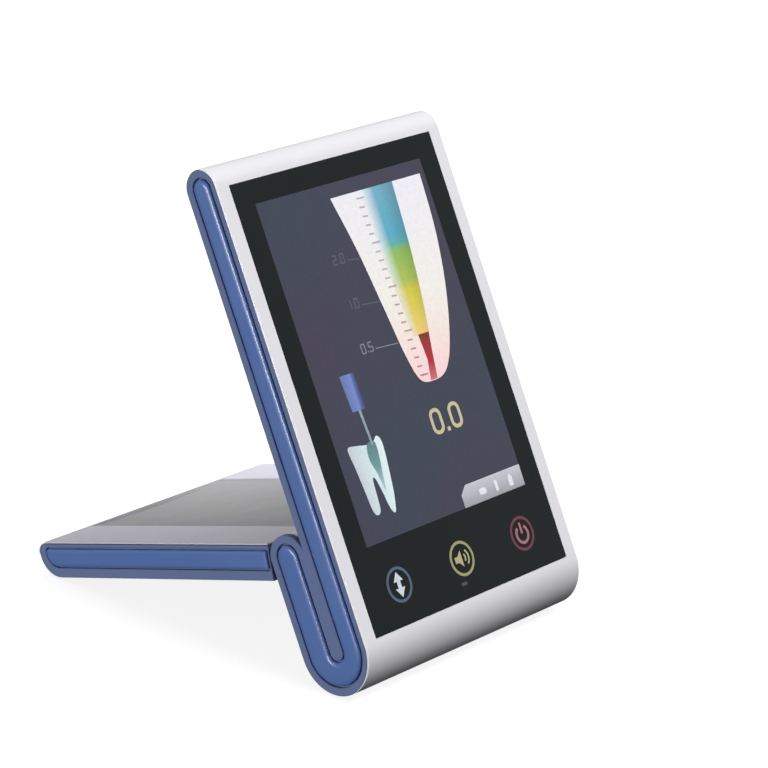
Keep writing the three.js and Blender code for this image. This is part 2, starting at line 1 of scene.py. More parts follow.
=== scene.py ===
import json
import math

import bmesh
import bpy
from mathutils import Matrix, Vector
from mathutils.geometry import tessellate_polygon


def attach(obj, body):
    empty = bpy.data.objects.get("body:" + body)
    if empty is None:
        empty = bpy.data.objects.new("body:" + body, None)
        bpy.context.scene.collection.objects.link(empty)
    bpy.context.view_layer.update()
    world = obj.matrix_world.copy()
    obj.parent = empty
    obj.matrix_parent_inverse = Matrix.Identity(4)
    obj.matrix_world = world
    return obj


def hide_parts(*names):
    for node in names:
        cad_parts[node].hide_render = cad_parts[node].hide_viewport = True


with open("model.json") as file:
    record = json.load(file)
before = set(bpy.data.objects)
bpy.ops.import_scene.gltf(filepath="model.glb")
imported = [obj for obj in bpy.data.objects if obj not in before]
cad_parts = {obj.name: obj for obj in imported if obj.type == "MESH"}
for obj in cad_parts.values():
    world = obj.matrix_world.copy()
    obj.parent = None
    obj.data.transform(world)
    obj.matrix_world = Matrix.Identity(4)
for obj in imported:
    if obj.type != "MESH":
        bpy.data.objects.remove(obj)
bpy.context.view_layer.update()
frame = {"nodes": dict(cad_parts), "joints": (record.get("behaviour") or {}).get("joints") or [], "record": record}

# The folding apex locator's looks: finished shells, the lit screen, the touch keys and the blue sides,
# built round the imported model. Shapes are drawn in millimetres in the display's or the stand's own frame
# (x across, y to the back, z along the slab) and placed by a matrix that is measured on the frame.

record = frame["record"]
MM = 0.001

# ---------- places, measured on the frame ----------

mounts = {mount["name"]: mount for mount in record["mounts"]}
hinge_point = Vector(frame["joints"][0]["pos_m"])


def slab_place(origin, back):
    """The matrix from a slab's own millimetres to the row frame, for a slab whose back faces that way."""
    across = Vector((1, 0, 0))
    back = Vector(back).normalized()
    along = across.cross(back)
    turn = Matrix((across, back, along)).transposed().to_4x4()
    return Matrix.Translation(origin) @ turn @ Matrix.Scale(MM, 4)


def measured(node, place):
    """Lowest and highest corner of a CAD node in a slab's own millimetres."""
    inverse = place.inverted()
    points = [inverse @ vertex.co for vertex in frame["nodes"][node].data.vertices]
    low = Vector([min(point[axis] for point in points) for axis in range(3)])
    high = Vector([max(point[axis] for point in points) for axis in range(3)])
    return low, high


STAND = slab_place(hinge_point, mounts["folded_rest_face"]["axis"])
at_hinge = slab_place(hinge_point, mounts["display_back_face"]["axis"])
shell_low, shell_high = measured("front_housing", at_hinge)
BEND_R = (shell_high.y - shell_low.y) / 2
bend_centre = Vector((0, shell_low.y + BEND_R, shell_low.z + BEND_R))
DISPLAY = at_hinge @ Matrix.Translation(bend_centre)
AXIS_Y = -bend_centre.y
AXIS_Z = -bend_centre.z

HALF = shell_high.x
FRONT = -BEND_R
BACK = measured("rear_cover", DISPLAY)[1].y
TOP = shell_high.z - bend_centre.z
TOP_R = (BACK - FRONT) / 2
TOP_Y = FRONT + TOP_R
TOP_Z = TOP - TOP_R
ARM_R = BEND_R - AXIS_Y

glass_low, glass_high = measured("cover_glass", DISPLAY)
stand_low, stand_high = measured("stand_rim_left", STAND)
STAND_TIP = stand_high.z
STAND_START = stand_low.z
STAND_OUT = stand_high.y
STAND_IN = measured("stand_cover", STAND)[0].y
RIM_DEEP = HALF - measured("side_rim_right", DISPLAY)[0].x

# ---------- finer sizes, in millimetres ----------

TIP_R = 7.7                  # outer corner at the stand's tip
TIP_IN_R = STAND_OUT - STAND_IN - TIP_R
TIP_Y = STAND_OUT - TIP_R
LIP = 0.6                    # white lip round the front edge of each side plate
LIP_TAPER = 4                # degrees past the top and bottom at which the lip has gone
LIP_ROUNDED = 0.8            # share of the lip's depth that its rounded edge may take
LIP_LEAST = 0.05             # a shallower lip is left out
LIP_FOOT = 0.02              # least depth of the step behind the lip
SEAM = 0.15                  # shadow gap between two mouldings
SHELL_SPLIT = 0.3            # from the rear panel's top edge to the front shell
SHELL_EDGE = 0.45            # rounding of the white shell's side edge
SHELL_SOFT = 0.25            # rounding of the other shells' edges
KNUCKLE_SOFT = 0.3
SMALL_SOFT = 0.12            # rounding of the rubber pads' and the stand cover's edges
WALL = 2.0
POCKET_DEEP = 1.2            # pockets for the glass and for the raised bars

RIM = 2.7                    # from the outline to the middle of the groove round a raised bar
GROOVE = 0.5
PLATE_EDGE = 0.35            # rounding of the side plates' edges
BAR_GAP = 0.05               # under a raised bar
BAR_CROWN = 1.7              # width over which the display's bar curves over into its crest
BAR_RISE = 0.85
SOCKET_GAP = 0.2             # round the two sockets in the right side
STAND_BAR_CROWN = 1.1
STAND_BAR_RISE = 0.6
BAR_INSIDE = 1.9             # from the stand's faces, its hinge end and its tip to its bar's groove
BAR_OUTSIDE = 3.2
BAR_START = 0.75
BAR_TIP = 2.9
BAR_TIP_R = 4.65
BAR_CORNER_R = 1.35
BAR_SQUARE_R = 0.5
LEAST_CORNER_R = 0.1         # of the bar's corners where its crest draws in
LEAST_SQUARE_R = 0.05
PORT_CORNER_R = 0.8          # of the charging socket's opening

CHANNEL_HALF = 29.4          # the shallow channel down the stand's inner cover
CHANNEL_STEP = 0.3           # below the cover's face, from where a face counts as the channel's
FACING = 0.9                 # share of a face's normal that points the way it is said to face

GLASS_R = 1.0
GLASS_EDGE = 0.15
LAYER = 0.03                 # thickness of one printed or lit layer on the glass
SCREEN_HALF = 36.4
SCREEN_BOTTOM = 25.4
SCREEN_TOP = 127.0
GRAPH_TOP = 122.7
CANAL_BOTTOM = 77.6
ROOT_END = 63.9
TICKS = 21
TICK_X = 4.4                 # the uppermost tick's left end, and how far the row runs right and down
TICK_Z = 120.6
TICK_RUN = 2.8
TICK_DROP = 54.4
TICK_LENGTH = 2.2
LONG_TICK = 3.4
LONG_TICK_EVERY = 5
SCALE_LEFT = -13.2           # the distance numbers beside the ticks
SCALE_HEIGHT = 2.7
SCALE_WIDTH = 1.5
SCALE_LINE = 0.42
LEADER_START = -7.4          # the thin lines from the numbers to the root
LEADER_LINE = 0.32
DIGIT_LEFTS = (5.3, 13.8)    # the reading's two numerals
DIGIT_WIDTH = 5.2
DIGIT_LINE = 1.15
READING_BOTTOM = 48.2
READING_TOP = 56.0
TAB_LEFT = 8.1
TAB_TOP = 31.8
KEY_R = 5.2
KEY_LINE = 0.85
KEY_PITCH = 28.4
KEY_Z = 12.3

SAME_PLACE = 1e-4            # corners nearer than this are one corner
WELD = 2e-6                  # the same for the CAD meshes, in metres
FLAT_WITHIN = 0.6            # degrees between facets that belong to one flat face
EDGE_FROM = 35               # degrees between faces from which a CAD edge gets rounded
SHARP_FROM = 30              # degrees between faces from which an edge is shaded as sharp

# ---------- textures and lights, in metres, watts and degrees ----------

NOISE_LOW = 0.3              # most of a noise texture's values lie between these two
NOISE_HIGH = 0.7
SCREEN_LIGHT = 0.08
STUDIO_CENTRE = (0, 0, 0.07)
KEY_PLACE = (0.3, -0.85, 1.6)
KEY_SIZE = (0.9, 0.9)
KEY_WATTS = 26
FILL_PLACE = (-1.3, 0.15, 0.12)
FILL_SIZE = (1.0, 0.2)
FILL_WATTS = 15
SPOT_PLACE = (0.30, 0.40, 0.45)
SPOT_TARGET = (0.05, 0.068, 0.03)
SPOT_CONE = 16
SPOT_WATTS = 16
SPOT_SOFTNESS = 0.05
SKY_GLOW = 0.5
GROUND_GLOW = 0.02
LEFT_SKY = (0.15, 0.15, 0.16, 1)
RIGHT_SKY = (1.6, 1.59, 1.58, 1)
FLOOR_DARK = (0.28, 0.28, 0.28, 1)
FLOOR_PALE = (0.29, 0.29, 0.29, 1)
FLOOR_GLOW = 3.0
FLOOR_HALF = 8.0

# ---------- camera ----------

CAMERA_TARGET = Vector((0.01126, -0.01491, 0.06875))
CAMERA_DISTANCE = 1.0369
CAMERA_AZIMUTH = math.radians(-51.504)
CAMERA_ELEVATION = math.radians(20.213)
CAMERA_ROLL = math.radians(-4.214)
CAMERA_LENS = 164.96
CAMERA_SENSOR = 36
CAMERA_NEAR = 0.05
CAMERA_FAR = 20


def add_camera():
    level = math.cos(CAMERA_ELEVATION)
    outward = Vector((
        math.sin(CAMERA_AZIMUTH) * level, -math.cos(CAMERA_AZIMUTH) * level, math.sin(CAMERA_ELEVATION),
    ))
    data = bpy.data.cameras.new("camera")
    data.lens = CAMERA_LENS
    data.sensor_width = CAMERA_SENSOR
    data.clip_start = CAMERA_NEAR
    data.clip_end = CAMERA_FAR
    camera = bpy.data.objects.new("camera", data)
    bpy.context.scene.collection.objects.link(camera)
    camera.location = CAMERA_TARGET + outward * CAMERA_DISTANCE
    look = (-outward).to_track_quat("-Z", "Y").to_matrix()
    camera.rotation_euler = (look @ Matrix.Rotation(-CAMERA_ROLL, 3, "Z")).to_euler()
    bpy.context.scene.camera = camera


add_camera()

# ---------- outlines: closed lists of (u, v) points, anticlockwise ----------


def arc(u, v, radius, start, end, steps=16):
    """Points on an arc between two angles in degrees, both ends included."""
    turns = [math.radians(start + (end - start) * step / steps) for step in range(steps + 1)]
    return [(u + radius * math.cos(turn), v + radius * math.sin(turn)) for turn in turns]


def rounded_rect(left, right, bottom, top, radius, steps=6):
    return (
        arc(left + radius, bottom + radius, radius, 180, 270, steps)
        + arc(right - radius, bottom + radius, radius, 270, 360, steps)
        + arc(right - radius, top - radius, radius, 0, 90, steps)
        + arc(left + radius, top - radius, radius, 90, 180, steps)
    )


def arc_band(u, v, inner, outer, start, end, steps=20):
    """A thick stretch of arc as one closed outline."""
    return arc(u, v, outer, start, end, steps) + arc(u, v, inner, end, start, steps)


def curve_through(points, closed=False, steps=6):
    """A smooth Catmull-Rom curve through the points."""
    count = len(points)
    spans = count if closed else count - 1
    curve = []
    for index in range(spans):
        places = [index + offset for offset in (-1, 0, 1, 2)]
        if closed:
            near = [Vector(points[place % count]) for place in places]
        else:
            near = [Vector(points[min(max(place, 0), count - 1)]) for place in places]
        curve += [tuple(catmull_rom(near, step / steps)) for step in range(steps)]
    if not closed:
        curve.append(tuple(points[-1]))
    return curve


def catmull_rom(near, share):
    before, start, end, after = near
    return 0.5 * (
        2 * start
        + (end - before) * share
        + (2 * before - 5 * start + 4 * end - after) * share ** 2
        + (3 * start - before - 3 * end + after) * share ** 3
    )


def shifted(loop, du, dv):
    return [(u + du, v + dv) for u, v in loop]


def inset(loop, distance):
    """Every point of an anticlockwise loop moved inwards; a negative distance moves it outwards."""
    moved = []
    for index, point in enumerate(loop):
        before = (Vector(point) - Vector(loop[index - 1])).normalized()
        after = (Vector(loop[(index + 1) % len(loop)]) - Vector(point)).normalized()
        middle = (before + after).normalized()
        stretch = distance / max(0.5, middle.dot(before))
        moved.append((point[0] - middle.y * stretch, point[1] + middle.x * stretch))
    return moved


def no_repeats(loop):
    """The loop without points that lie on the one before."""
    kept = []
    for point in loop:
        if not kept or (Vector(point) - Vector(kept[-1])).length > SAME_PLACE:
            kept.append(point)
    if (Vector(kept[0]) - Vector(kept[-1])).length < SAME_PLACE:
        kept.pop()
    return kept


def body_outline(depth):
    """Display slab, bottom bend and lower housing as one J in (y, z), drawn that far inside its outline."""
    loop = arc(0, 0, BEND_R - depth, -180, 0, 48)
    loop += arc(AXIS_Y, AXIS_Z, ARM_R - depth, 0, 180, 24)
    loop += arc(BACK, 0, depth, 360, 180, 16)
    loop += arc(TOP_Y, TOP_Z, TOP_R - depth, 0, 180, 24)
    return no_repeats(loop)


def stand_plate_outline(depth):
    """The stand's side behind the lip of its inner cover, which thins out over the tip."""
    loop = [(STAND_IN + LIP, STAND_START), (STAND_OUT, STAND_START)]
    loop += arc(TIP_Y, STAND_TIP - TIP_R, TIP_R, 0, 90 - LIP_TAPER, 20)
    loop += shifted(arc(TIP_Y, STAND_TIP - TIP_IN_R, TIP_IN_R, 90, 180, 14), LIP, 0)[1:]
    return inset(no_repeats(loop), depth)


def stand_bar_outline(depth):
    """The stand's raised bar: a large and a small corner at the tip, and square corners at the hinge."""
    inner = STAND_IN + BAR_INSIDE + depth
    outer = STAND_OUT - BAR_OUTSIDE - depth
    start = STAND_START + BAR_START + depth
    tip = STAND_TIP - BAR_TIP - depth
    outer_r = BAR_TIP_R - depth
    inner_r = max(BAR_CORNER_R - depth, LEAST_CORNER_R)
    square_r = max(BAR_SQUARE_R - depth, LEAST_SQUARE_R)
    loop = arc(inner + square_r, start + square_r, square_r, 180, 270, 5)
    loop += arc(outer - square_r, start + square_r, square_r, 270, 360, 5)
    loop += arc(outer - outer_r, tip - outer_r, outer_r, 0, 90, 16)
    return loop + arc(inner + inner_r, tip - inner_r, inner_r, 90, 180, 8)


# ---------- meshes ----------


def across(u, v, height):
    """Outlines in (y, z) with their thickness across x."""
    return Vector((height, u, v))


def across_left(u, v, height):
    return Vector((-height, u, v))


def facing(u, v, height):
    """Outlines in (x, z) with their thickness along y."""
    return Vector((u, height, v))


def join_rings(bm, rings):
    for lower, upper in zip(rings, rings[1:]):
        for index in range(len(lower)):
            bm.faces.new((lower[index - 1], lower[index], upper[index], upper[index - 1]))


def add_walls(bm, put, sections):
    """Joins (outline, height) sections by walls, and returns their rings of corners."""
    rings = [[bm.verts.new(put(u, v, height)) for u, v in loop] for loop, height in sections]
    join_rings(bm, rings)
    return rings


def add_cap(bm, rings):
    """Closes the area inside the first ring and outside the others."""
    corners = [vertex for ring in rings for vertex in ring]
    for triple in tessellate_polygon([[vertex.co for vertex in ring] for ring in rings]):
        bm.faces.new([corners[index] for index in triple])


def solid_mesh(name, put, sections, place, holes=(), pockets=()):
    """A closed solid up through its sections, with holes that go right through and pockets in its top."""
    bm = bmesh.new()
    outer = add_walls(bm, put, sections)
    through = [add_walls(bm, put, hole) for hole in holes]
    sunk = [add_walls(bm, put, pocket) for pocket in pockets]
    add_cap(bm, [outer[0]] + [rings[0] for rings in through])
    add_cap(bm, [outer[-1]] + [rings[-1] for rings in through + sunk])
    for rings in sunk:
        add_cap(bm, [rings[0]])
    return to_mesh(name, bm, place)


def to_mesh(name, bm, place):
    bmesh.ops.remove_doubles(bm, verts=bm.verts, dist=SAME_PLACE)
    bmesh.ops.recalc_face_normals(bm, faces=bm.faces)
    bm.transform(place)
    mesh = bpy.data.meshes.new(name)
    bm.to_mesh(mesh)
    bm.free()
    return mesh


def finish_piece(name, mesh, body, material, replaces=()):
    """Makes a named piece of a mesh that already lies in the row frame."""
    mesh.shade_smooth()
    mesh.set_sharp_from_angle(angle=math.radians(SHARP_FROM))
    mesh.materials.append(material)
    piece = bpy.data.objects.new(name, mesh)
    bpy.context.scene.collection.objects.link(piece)
    flat_faces = piece.modifiers.new("flat_faces_stay_flat", "WEIGHTED_NORMAL")
    flat_faces.keep_sharp = True
    flat_faces.weight = 100
    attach(piece, body)
    if replaces:
        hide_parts(*replaces)
    return piece


def quarter(radius, drop, steps=4):
    """(inset, height below the top) pairs from the foot of a rounded edge to its top."""
    turns = [math.pi / 2 * step / steps for step in range(steps + 1)]
    return [(radius * (1 - math.cos(turn)), drop * (1 - math.sin(turn))) for turn in turns]


def rounded_top(outline_at, low, high, radius, drop, steps=4):
    """Sections of a plate with one rounded edge. outline_at(depth) is its outline drawn in that far."""
    sections = [(outline_at(0.0), low)]
    for depth, below in quarter(radius, drop, steps):
        sections.append((outline_at(depth), high - below))
    return sections


def drilled(mesh, drill):
    """The first closed mesh with the second one taken out of it."""
    body = bpy.data.objects.new("being_drilled", mesh)
    tool = bpy.data.objects.new("drill", drill)
    for piece in (body, tool):
        bpy.context.scene.collection.objects.link(piece)
    cut = body.modifiers.new("cut", "BOOLEAN")
    cut.operation = "DIFFERENCE"
    cut.solver = "EXACT"
    cut.object = tool
    result = bpy.data.meshes.new_from_object(body.evaluated_get(bpy.context.evaluated_depsgraph_get()))
    bpy.data.objects.remove(body)
    bpy.data.objects.remove(tool)
    return result


def softened_mesh(node, edge):
    """A copy of a CAD solid with its flat facets joined and its sharp edges rounded."""
    bm = bmesh.new()
    bm.from_mesh(frame["nodes"][node].data)
    bmesh.ops.remove_doubles(bm, verts=bm.verts, dist=WELD)
    flat = math.radians(FLAT_WITHIN)
    bmesh.ops.dissolve_limit(bm, angle_limit=flat, verts=bm.verts, edges=bm.edges)
    steep = math.radians(EDGE_FROM)
    sharp = [rim for rim in bm.edges if rim.is_manifold and rim.calc_face_angle() > steep]
    bmesh.ops.bevel(
        bm, geom=sharp, offset=edge * MM, segments=2, profile=0.5, affect="EDGES", clamp_overlap=True,
    )
    mesh = bpy.data.meshes.new(node + "_finished")
    bm.to_mesh(mesh)
    bm.free()
    return mesh


# ---------- materials ----------


def srgb(red, green, blue):
    """Linear colour of an 8-bit display colour."""
    def linear(value):
        share = value / 255
        return share / 12.92 if share <= 0.04045 else ((share + 0.055) / 1.055) ** 2.4
    return (linear(red), linear(green), linear(blue), 1.0)


def tinted(color, share):
    return tuple(min(1.0, channel * share) for channel in color[:3]) + (1.0,)


def new_material(name):
    material = bpy.data.materials.new(name)
    material.use_nodes = True
    tree = material.node_tree
    shader = tree.nodes["Principled BSDF"]
    place = tree.nodes.new("ShaderNodeTexCoord").outputs["Object"]
    return material, tree, shader, place


def noise(tree, place, scale, detail=2.0, roughness=0.5):
    node = tree.nodes.new("ShaderNodeTexNoise")
    node.inputs["Scale"].default_value = scale
    node.inputs["Detail"].default_value = detail
    node.inputs["Roughness"].default_value = roughness
    tree.links.new(place, node.inputs["Vector"])
    return node.outputs["Fac"]


def ramp(tree, value, stops):
    """A colour ramp through (position, colour) stops."""
    node = tree.nodes.new("ShaderNodeValToRGB")
    elements = node.color_ramp.elements
    while len(elements) < len(stops):
        elements.new(1.0)
    for element, (position, color) in zip(elements, stops):
        element.position = position
        element.color = color
    tree.links.new(value, node.inputs["Fac"])
    return node.outputs["Color"]


def spread(tree, value, low, high, out_low, out_high):
    """Maps a value from one range to another, without going past its ends."""
    node = tree.nodes.new("ShaderNodeMapRange")
    ends = {"From Min": low, "From Max": high, "To Min": out_low, "To Max": out_high}
    for socket, number in ends.items():
        node.inputs[socket].default_value = number
    tree.links.new(value, node.inputs["Value"])
    return node.outputs["Result"]


def two_tone(tree, value, dark, light):
    """A colour that drifts between two tones with a noise texture's value."""
    return ramp(tree, value, [(NOISE_LOW, dark), (NOISE_HIGH, light)])


def grain(tree, shader, height, depth):
    bump = tree.nodes.new("ShaderNodeBump")
    bump.inputs["Strength"].default_value = 1.0
    bump.inputs["Distance"].default_value = depth
    tree.links.new(height, bump.inputs["Height"])
    tree.links.new(bump.outputs["Normal"], shader.inputs["Normal"])


def moulded(name, color, roughness, grain_mm=0.5, depth=0.000006, drift=0.04, coat=0.0, spec=0.5):
    """Moulded plastic: a fine surface grain, slow drifts of tone and patches of slightly duller surface."""
    material, tree, shader, place = new_material(name)
    tone = noise(tree, place, 28.0, 3.0)
    tree.links.new(
        two_tone(tree, tone, tinted(color, 1 - drift), tinted(color, 1 + drift)),
        shader.inputs["Base Color"],
    )
    patches = noise(tree, place, 90.0, 4.0, 0.6)
    tree.links.new(
        spread(tree, patches, NOISE_LOW, NOISE_HIGH, roughness * 0.85, roughness * 1.2),
        shader.inputs["Roughness"],
    )
    grain(tree, shader, noise(tree, place, 1000.0 / grain_mm, 2.0), depth)
    shader.inputs["Specular IOR Level"].default_value = spec
    shader.inputs["Coat Weight"].default_value = coat
    shader.inputs["Coat Roughness"].default_value = 0.08
    return material


def brushed(name, color, roughness, along=(1, 40, 40)):
    """Drawn or brushed metal: fine streaks along one axis."""
    material, tree, shader, place = new_material(name)
    stretch = tree.nodes.new("ShaderNodeMapping")
    stretch.inputs["Scale"].default_value = along
    tree.links.new(place, stretch.inputs["Vector"])
    streaks = noise(tree, stretch.outputs["Vector"], 60.0, 5.0, 0.7)
    tree.links.new(
        two_tone(tree, streaks, tinted(color, 0.88), tinted(color, 1.06)), shader.inputs["Base Color"],
    )
    tree.links.new(
        spread(tree, streaks, NOISE_LOW, NOISE_HIGH, roughness * 0.8, roughness * 1.3),
        shader.inputs["Roughness"],
    )
    grain(tree, shader, streaks, 0.000004)
    shader.inputs["Metallic"].default_value = 1.0
    return material


def black_glass():
    """Back-printed glass: deep black with faint wipe marks in its gloss."""
    material, tree, shader, place = new_material("black_cover_glass")
    depth = noise(tree, place, 12.0, 2.0)
    tree.links.new(
        two_tone(tree, depth, srgb(19, 24, 26), srgb(24, 29, 31)), shader.inputs["Base Color"],
    )
    stretch = tree.nodes.new("ShaderNodeMapping")
    stretch.inputs["Scale"].default_value = (3, 1, 1)
    stretch.inputs["Rotation"].default_value = (0, 0.5, 0)
    tree.links.new(place, stretch.inputs["Vector"])
    wiped = noise(tree, stretch.outputs["Vector"], 35.0, 5.0, 0.65)
    tree.links.new(spread(tree, wiped, 0.35, 0.75, 0.10, 0.24), shader.inputs["Roughness"])
    shader.inputs["Specular IOR Level"].default_value = 0.14
    return material


def in_display(tree, place):
    """The display's own x, y and z of the shaded point, in metres, as a node's outputs."""
    turn = tree.nodes.new("ShaderNodeMapping")
    turn.vector_type = "TEXTURE"
    turn.inputs["Location"].default_value = DISPLAY.translation
    turn.inputs["Rotation"].default_value = DISPLAY.to_euler()
    tree.links.new(place, turn.inputs["Vector"])
    split = tree.nodes.new("ShaderNodeSeparateXYZ")
    tree.links.new(turn.outputs["Vector"], split.inputs["Vector"])
    return split.outputs


def mixed(tree, share, first, second, blend="MIX"):
    """The first colour turning into the second as the share goes to 1. Each may be a node's output."""
    node = tree.nodes.new("ShaderNodeMix")
    node.data_type = "RGBA"
    node.blend_type = blend
    for socket, value in (("Factor", share), ("A", first), ("B", second)):
        if isinstance(value, bpy.types.NodeSocket):
            tree.links.new(value, node.inputs[socket])
        else:
            node.inputs[socket].default_value = value
    return node.outputs["Result"]


def light_up(tree, shader, place, color):
    """Shows a colour as a picture behind gloss: fine pixel noise, a little glow and a smooth surface."""
    pixels = two_tone(tree, noise(tree, place, 900.0, 1.0), (0.94, 0.94, 0.94, 1), (1, 1, 1, 1))
    picture = mixed(tree, 1.0, color, pixels, "MULTIPLY")
    tree.links.new(picture, shader.inputs["Base Color"])
    tree.links.new(picture, shader.inputs["Emission Color"])
    smears = noise(tree, place, 120.0)
    tree.links.new(
        spread(tree, smears, NOISE_LOW, NOISE_HIGH, 0.16, 0.26), shader.inputs["Roughness"],
    )
    shader.inputs["Emission Strength"].default_value = SCREEN_LIGHT
    shader.inputs["Specular IOR Level"].default_value = 0.2


def lit(name, colors, axis, low, high):
    """A lit patch of the screen whose colour changes between two places along one of the display's axes."""
    material, tree, shader, place = new_material(name)
    along = spread(tree, in_display(tree, place)[axis], low * MM, high * MM, 0.0, 1.0)
    light_up(tree, shader, place, ramp(tree, along, colors))
    return material


def flat_lit(name, color):
    return lit(name, [(0.0, tinted(color, 0.96)), (1.0, color)], "Z", 0.0, 140.0)


def screen_material():
    """The screen's slate ground, slightly uneven as a backlight is."""
    material, tree, shader, place = new_material("screen_slate")
    uneven = noise(tree, place, 22.0, 1.0)
    light_up(tree, shader, place, ramp(tree, uneven, [(0.35, srgb(58, 66, 80)), (0.65, srgb(66, 62, 80))]))
    return material


def canal_material():
    """The canal's colour zones, which fade to white on its left side and darken towards its right wall."""
    material, tree, shader, place = new_material("canal_colors")
    point = in_display(tree, place)
    zone = spread(tree, point["Z"], CANAL_BOTTOM * MM, GRAPH_TOP * MM, 0.0, 1.0)
    fade = spread(tree, point["X"], 7.0 * MM, 12.5 * MM, 0.0, 1.0)
    shade = spread(tree, point["X"], 14.0 * MM, 20.5 * MM, 1.0, 0.72)
    color = mixed(tree, fade, srgb(228, 232, 236), ramp(tree, zone, CANAL_COLORS))
    light_up(tree, shader, place, mixed(tree, 1.0, color, shade, "MULTIPLY"))
    return material


GRAPH_COLORS = [
    (0.0, srgb(244, 208, 208)), (0.2, srgb(240, 222, 216)), (0.45, srgb(236, 232, 226)),
    (1.0, srgb(230, 229, 237)),
]
CANAL_COLORS = [
    (0.0, srgb(236, 196, 120)), (0.08, srgb(222, 200, 96)), (0.30, srgb(206, 196, 70)),
    (0.36, srgb(168, 188, 84)), (0.56, srgb(136, 182, 92)), (0.61, srgb(92, 172, 172)),
    (0.68, srgb(88, 166, 192)), (1.0, srgb(112, 168, 190)),
]
APEX_COLORS = [
    (0.0, srgb(196, 112, 116)), (0.4, srgb(176, 40, 60)), (0.8, srgb(150, 50, 48)),
    (1.0, srgb(112, 58, 32)),
]
TICK_COLORS = [(0.0, srgb(176, 128, 128)), (0.6, srgb(190, 168, 168)), (1.0, srgb(168, 172, 180))]
TOOTH_COLORS = [(0.0, srgb(196, 200, 210)), (0.45, srgb(206, 224, 226)), (1.0, srgb(222, 238, 240))]
PULP_COLORS = [(0.0, srgb(176, 202, 206)), (0.5, srgb(108, 152, 152)), (1.0, srgb(92, 128, 132))]
HANDLE_COLORS = [
    (0.0, srgb(98, 116, 168)), (0.6, srgb(116, 136, 196)), (0.78, srgb(84, 96, 152)),
    (1.0, srgb(52, 60, 110)),
]
TAB_COLORS = [(0.0, srgb(156, 157, 165)), (1.0, srgb(196, 197, 205))]
SCALE_NUMBERS = [
    ("upper", "2.0", 104.0, srgb(88, 92, 112)),
    ("middle", "1.0", 90.5, srgb(88, 92, 110)),
    ("lower", "0.5", 77.4, srgb(126, 128, 138)),
]
LEADER_END = {"upper": -2.4, "middle": 0.4, "lower": 2.4}

WHITE = moulded("white_shell_plastic", srgb(222, 221, 226), 0.34, 0.6, 0.000004, 0.015, coat=0.25)
# the stand cover's grey, darker than the white shells, is painted shade from the display leaning over it; its
# lilac tint is the cover's own
STAND_SHADED_GREY = moulded("stand_cover_painted_shade_plastic", srgb(188, 187, 198), 0.36, 0.6, 0.000005, 0.02, coat=0.15)
# the channel's darker neutral grey is painted shade in the recess under the leaning display
CHANNEL_PAINTED_SHADE_GREY = moulded("channel_painted_shade_plastic", srgb(140, 140, 142), 0.38, 0.8, 0.000003, 0.02, spec=0.3)
KNUCKLE_GREY = moulded("knuckle_plastic", srgb(150, 152, 163), 0.42, 0.4, 0.000008, 0.03)
RIM_BLUE = moulded("rim_slate_blue_plastic", srgb(94, 108, 144), 0.6, 0.35, 0.000008, 0.03, spec=0.08)
BAR_BLUE = moulded("bar_blue_plastic", srgb(79, 106, 162), 0.36, 0.35, 0.000005, 0.03, coat=0.3, spec=0.4)
RUBBER = moulded("grey_rubber", srgb(82, 85, 92), 0.8, 0.3, 0.00002, 0.06, spec=0.3)
STEEL = brushed("plated_steel", srgb(196, 198, 202), 0.36)
PIN_STEEL = brushed("ground_pin_steel", srgb(172, 175, 180), 0.36, (40, 40, 1))
BRONZE = brushed("washer_bronze", srgb(201, 162, 74), 0.35)
NICKEL = brushed("nickel_sleeve", srgb(200, 201, 204), 0.2, (1, 30, 30))
BOARD = moulded("solder_mask_green", srgb(29, 90, 60), 0.45, 0.8, 0.00001, 0.12)
BLACK = moulded("black_plastic", srgb(28, 29, 32), 0.5, 0.3, 0.00001, 0.08)
WRAP = moulded("battery_wrap", srgb(58, 110, 165), 0.4, 1.5, 0.00002, 0.05)
GUIDE = moulded("light_guide_acrylic", srgb(225, 228, 230), 0.15, 0.5, 0.000003, 0.01)
SENSOR = moulded("touch_film", srgb(60, 68, 70), 0.25, 0.5, 0.000003, 0.03)
PANEL = moulded("panel_glass", srgb(68, 72, 88), 0.2, 0.5, 0.000003, 0.03)
GLASS = black_glass()
SCREEN = screen_material()
READING = flat_lit("reading_yellow", srgb(196, 190, 150))

CARRIED = {
    "touch_sensor": SENSOR, "lcd_panel": PANEL, "light_guide": GUIDE, "backlight_tray": STEEL,
    "main_board": BOARD, "processor_chip": BLACK, "shield_can": STEEL, "memory_chip": BLACK,
    "battery_connector": BLACK, "battery_pack": WRAP, "speaker": BLACK, "stiffener_plate": STEEL,
    "charging_socket": STEEL, "probe_socket": NICKEL,
}


def repaint(node, material):
    piece = frame["nodes"][node]
    piece.data.materials.clear()
    piece.data.materials.append(material)


def paint_carried_nodes():
    for node, material in CARRIED.items():
        repaint(node, material)
    for node in frame["nodes"]:
        if "screw" in node or "hinge_bracket" in node or "hinge_leaf" in node:
            repaint(node, STEEL)
        elif "hinge_pin" in node:
            repaint(node, PIN_STEEL)
        elif "friction_washer" in node:
            repaint(node, BRONZE)


paint_carried_nodes()

# ---------- white shells ----------


def shell_stations():
    """(y, z, outward y, outward z, pocketed) from the back over the top, down and round the bend."""
    rear_top = measured("rear_cover", DISPLAY)[1].z + SHELL_SPLIT
    stations = [(BACK, rear_top, 1.0, 0.0, False), (BACK, TOP_Z - 0.01, 1.0, 0.0, False)]
    for y, z in arc(TOP_Y, TOP_Z, TOP_R, 0, 180, 28):
        stations.append((y, z, (y - TOP_Y) / TOP_R, (z - TOP_Z) / TOP_R, False))
    top, bottom = glass_high.z + SEAM, glass_low.z - SEAM
    for z, pocketed in ((top, False), (top, True), (bottom, True), (bottom, False)):
        stations.append((FRONT, z, -1.0, 0.0, pocketed))
    for y, z in arc(0, 0, BEND_R, 180, 360, 56):
        stations.append((y, z, y / BEND_R, z / BEND_R, False))
    return stations


